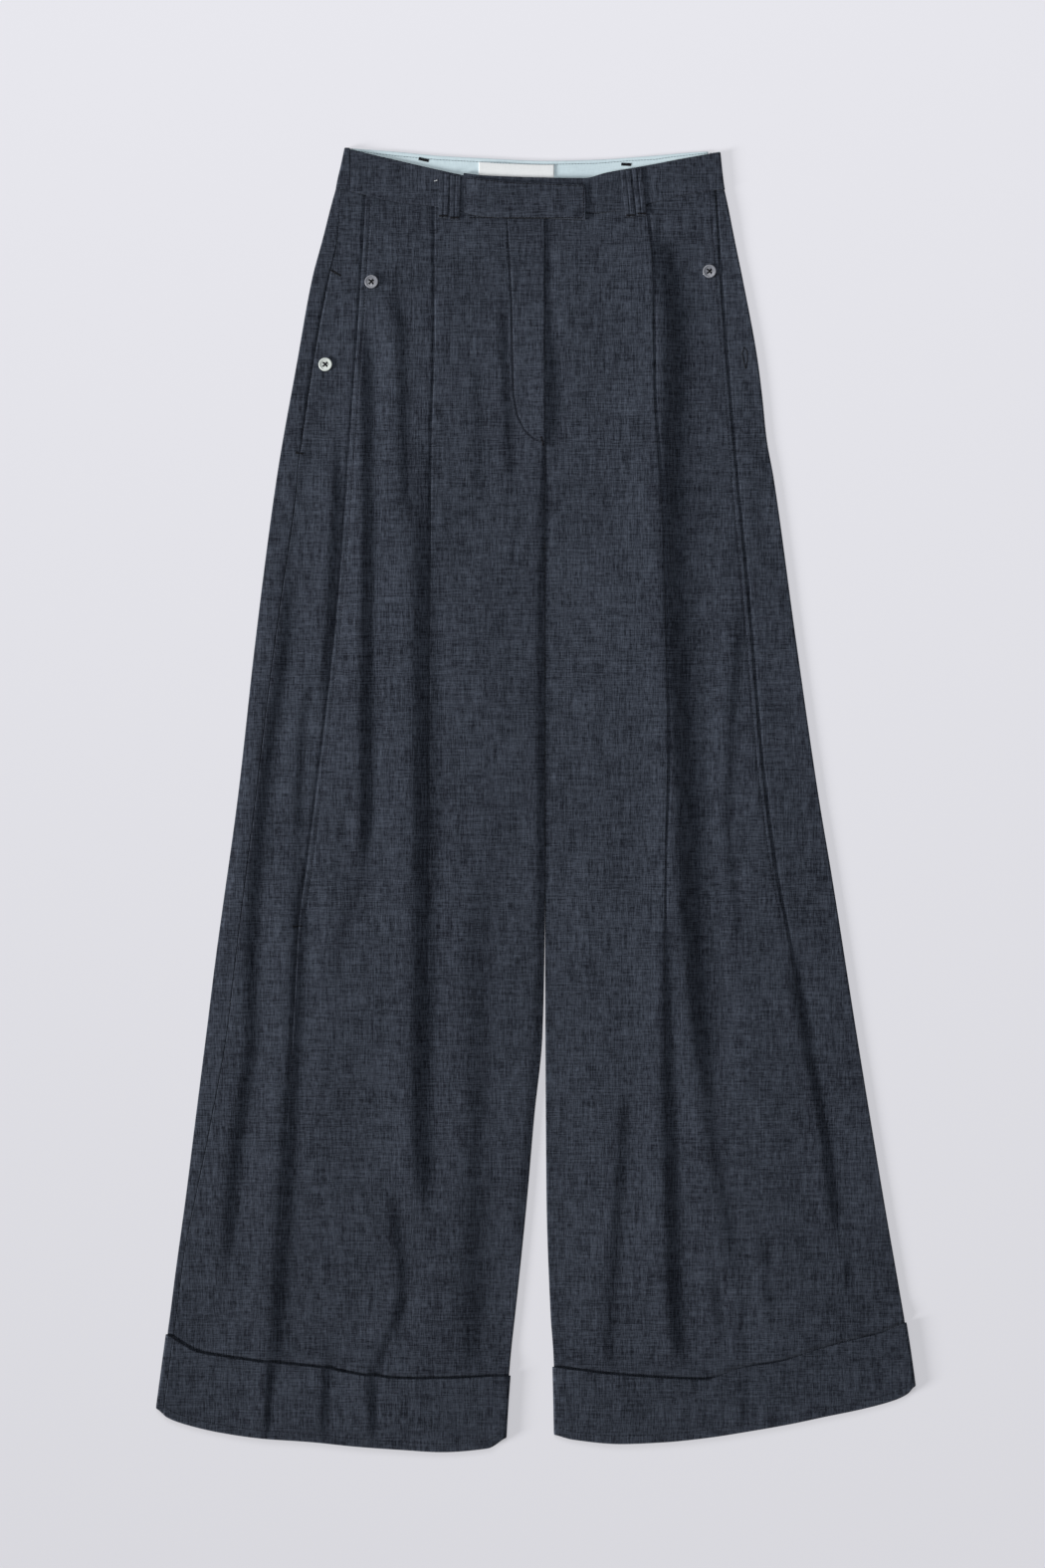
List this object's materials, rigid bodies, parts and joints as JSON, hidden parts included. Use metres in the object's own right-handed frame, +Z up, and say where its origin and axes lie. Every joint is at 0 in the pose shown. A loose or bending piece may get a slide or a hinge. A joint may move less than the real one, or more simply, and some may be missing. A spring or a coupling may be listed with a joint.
{
  "type": "double-pleated trousers",
  "caption": "Wide-legged, high-waisted trousers with stitched pleats, belt loops and deep turn-ups, laid flat and pressed.",
  "frame": {"origin": "on the surface that the garment lies on, under the centre of its outline", "axes": "+X to the wearer's left, +Y from the turn-ups to the waistband, +Z up out of the front"},
  "size_m": [0.6548, 1.125, 0.008],
  "materials": {
    "chambray": "matt, slubby dark indigo weave",
    "facing": "smooth pale mint cotton",
    "label": "satin cream ribbon",
    "grey_button": "polished grey resin",
    "cream_button": "polished off-white resin"
  },
  "bodies": {
    "root": {"front_right": "chambray", "front_left": "chambray", "back_right": "chambray", "back_left": "chambray", "turnup_front_right": "chambray", "turnup_front_left": "chambray", "turnup_back_right": "chambray", "turnup_back_left": "chambray", "band_right": "chambray", "band_left": "chambray", "band_back": "chambray", "band_facing": "facing", "label_patch": "label", "fly_placket": "chambray", "loop_right_1": "chambray", "loop_right_2": "chambray", "loop_left_1": "chambray", "loop_left_2": "chambray", "button_front_right": "grey_button", "button_front_left": "grey_button", "button_pocket": "cream_button"}
  },
  "joints": []
}
